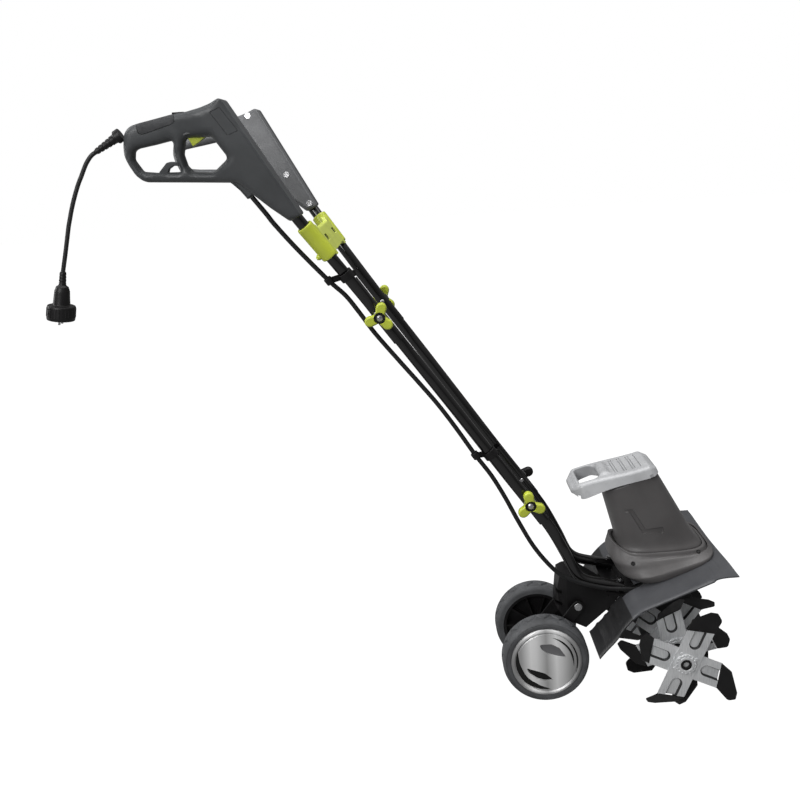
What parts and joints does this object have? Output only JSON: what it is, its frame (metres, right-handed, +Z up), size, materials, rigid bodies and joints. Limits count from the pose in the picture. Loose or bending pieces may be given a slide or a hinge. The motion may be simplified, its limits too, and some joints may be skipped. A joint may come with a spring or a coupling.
{
  "type": "electric garden tiller",
  "caption": "Corded garden tiller: tilted motor over bent-tip tine stars under a guard, trailing wheels, and a folding tube handle with two loop grips.",
  "frame": {"origin": "centre of the machine's bounding box without the supply cord, on the floor under the wheels and tines", "axes": "+X forwards, from the grips to the tines; +Y to the machine's left; +Z up"},
  "size_m": [1.2714, 0.434, 1.25],
  "materials": {
    "housing": "dark grey moulded polymer, fine texture",
    "guard": "darker grey moulded polymer, satin",
    "handle_shell": "charcoal moulded polymer, satin",
    "silver_plastic": "silver painted polymer",
    "black_tube": "gloss black powder-coated steel tube",
    "black_steel": "satin black painted steel",
    "laminations": "varnished windings on steel laminations",
    "cast_alloy": "black-painted cast aluminium",
    "brass": "machined bronze",
    "bright_steel": "zinc-plated steel",
    "tine_steel": "bare stamped steel with black-dipped tips",
    "tyre": "dark grey moulded tread",
    "black_plastic": "black polymer",
    "rubber_cable": "black rubber sheath",
    "lime": "lime green moulded polymer"
  },
  "bodies": {
    "power_head": {"gear_case": "cast_alloy", "frame_plate": "black_steel", "guard": "guard", "base_housing": "housing", "motor_housing": "housing", "top_cap": "silver_plastic", "stator": "laminations", "wheel_bracket": "black_steel", "carriage_bolt": "bright_steel", "tube_lower_right": "black_tube", "tube_lower_left": "black_tube", "tube_bolt_right": "bright_steel", "tube_bolt_left": "bright_steel", "cable_base": "rubber_cable", "cable_fold_lower": "rubber_cable"},
    "rotor": {"armature": "laminations", "worm": "bright_steel", "cooling_fan": "black_plastic"},
    "tines": {"tine_shaft": "black_steel", "worm_wheel": "brass", "tine_star_1_right": "tine_steel", "tine_star_1_left": "tine_steel", "tine_star_2_right": "tine_steel", "tine_star_2_left": "tine_steel", "tine_star_3_right": "tine_steel", "tine_star_3_left": "tine_steel"},
    "wheel_carriage": {"carriage_arm_right": "black_steel", "carriage_arm_left": "black_steel", "wheel_axle": "bright_steel"},
    "wheel_right": {"tyre_right": "tyre", "rim_right": "black_plastic", "hubcap_right": "silver_plastic"},
    "wheel_left": {"tyre_left": "tyre", "rim_left": "black_plastic", "hubcap_left": "silver_plastic"},
    "handle_middle": {"tube_middle_right": "black_tube", "tube_middle_left": "black_tube", "cable_clip_lower": "black_plastic", "cable_middle": "rubber_cable", "cable_fold_upper": "rubber_cable"},
    "knob_lower_right": {"knob_lower_right": "lime"},
    "knob_lower_left": {"knob_lower_left": "black_plastic"},
    "handle_upper": {"tube_upper_right": "black_tube", "tube_upper_left": "black_tube", "cross_bracket": "lime", "grip_right_outer": "handle_shell", "grip_right_inner": "handle_shell", "grip_left_outer": "handle_shell", "grip_left_inner": "handle_shell", "switch": "black_plastic", "cable_handle": "rubber_cable", "cable_clip_upper": "black_plastic", "cord_gland": "rubber_cable", "cord": "rubber_cable", "plug": "rubber_cable"},
    "knob_upper_right": {"knob_upper_right": "lime"},
    "knob_upper_left": {"knob_upper_left": "lime"},
    "trigger": {"trigger": "lime"},
    "lock_off_button": {"lock_off_button": "black_plastic"}
  },
  "joints": [
    {"name": "tine_spin", "type": "hinge", "parent": "power_head", "child": "tines", "pos_m": [0.4331, 0, 0.115], "axis": [0, 1, 0], "continuous": true},
    {"name": "rotor_spin", "type": "hinge", "parent": "power_head", "child": "rotor", "pos_m": [0.4829, 0, 0.13313], "axis": [-0.342, 0, 0.9397], "continuous": true},
    {"name": "carriage_swing", "type": "hinge", "parent": "power_head", "child": "wheel_carriage", "pos_m": [0.2481, 0, 0.182], "axis": [0, 1, 0], "range_deg": [0, 40]},
    {"name": "wheel_right_spin", "type": "hinge", "parent": "wheel_carriage", "child": "wheel_right", "pos_m": [0.1721, 0, 0.089], "axis": [0, 1, 0], "continuous": true},
    {"name": "wheel_left_spin", "type": "hinge", "parent": "wheel_carriage", "child": "wheel_left", "pos_m": [0.1721, 0, 0.089], "axis": [0, 1, 0], "continuous": true},
    {"name": "lower_fold", "type": "hinge", "parent": "power_head", "child": "handle_middle", "pos_m": [0.1546, 0, 0.426], "axis": [0, 1, 0], "range_deg": [0, 45], "deforming": ["cable_fold_lower"]},
    {"name": "upper_fold", "type": "hinge", "parent": "handle_middle", "child": "handle_upper", "pos_m": [-0.1174, 0, 0.83], "axis": [0, 1, 0], "range_deg": [0, 150], "deforming": ["cable_fold_upper"]},
    {"name": "knob_lower_right_turn", "type": "hinge", "parent": "handle_middle", "child": "knob_lower_right", "pos_m": [0.1546, -0.088, 0.426], "axis": [0, 1, 0], "continuous": true},
    {"name": "knob_lower_left_turn", "type": "hinge", "parent": "handle_middle", "child": "knob_lower_left", "pos_m": [0.1546, 0.088, 0.426], "axis": [0, 1, 0], "continuous": true},
    {"name": "knob_upper_right_turn", "type": "hinge", "parent": "handle_upper", "child": "knob_upper_right", "pos_m": [-0.1174, -0.114, 0.83], "axis": [0, 1, 0], "continuous": true},
    {"name": "knob_upper_left_turn", "type": "hinge", "parent": "handle_upper", "child": "knob_upper_left", "pos_m": [-0.1174, 0.114, 0.83], "axis": [0, 1, 0], "continuous": true},
    {"name": "trigger_pull", "type": "hinge", "parent": "handle_upper", "child": "trigger", "pos_m": [-0.3949, -0.1754, 1.197], "axis": [0, 1, 0], "range_deg": [0, 7], "stiffness_Nm_per_rad": 1.5, "springref_deg": -5.73},
    {"name": "lock_off_press", "type": "slide", "parent": "handle_upper", "child": "lock_off_button", "axis": [0, 0, -1], "range_m": [0, 0.004], "stiffness_N_per_m": 300, "springref_m": -0.002}
  ],
  "couplings": [
    {"joint": "rotor_spin", "follows": "tine_spin", "ratio": 32}
  ]
}
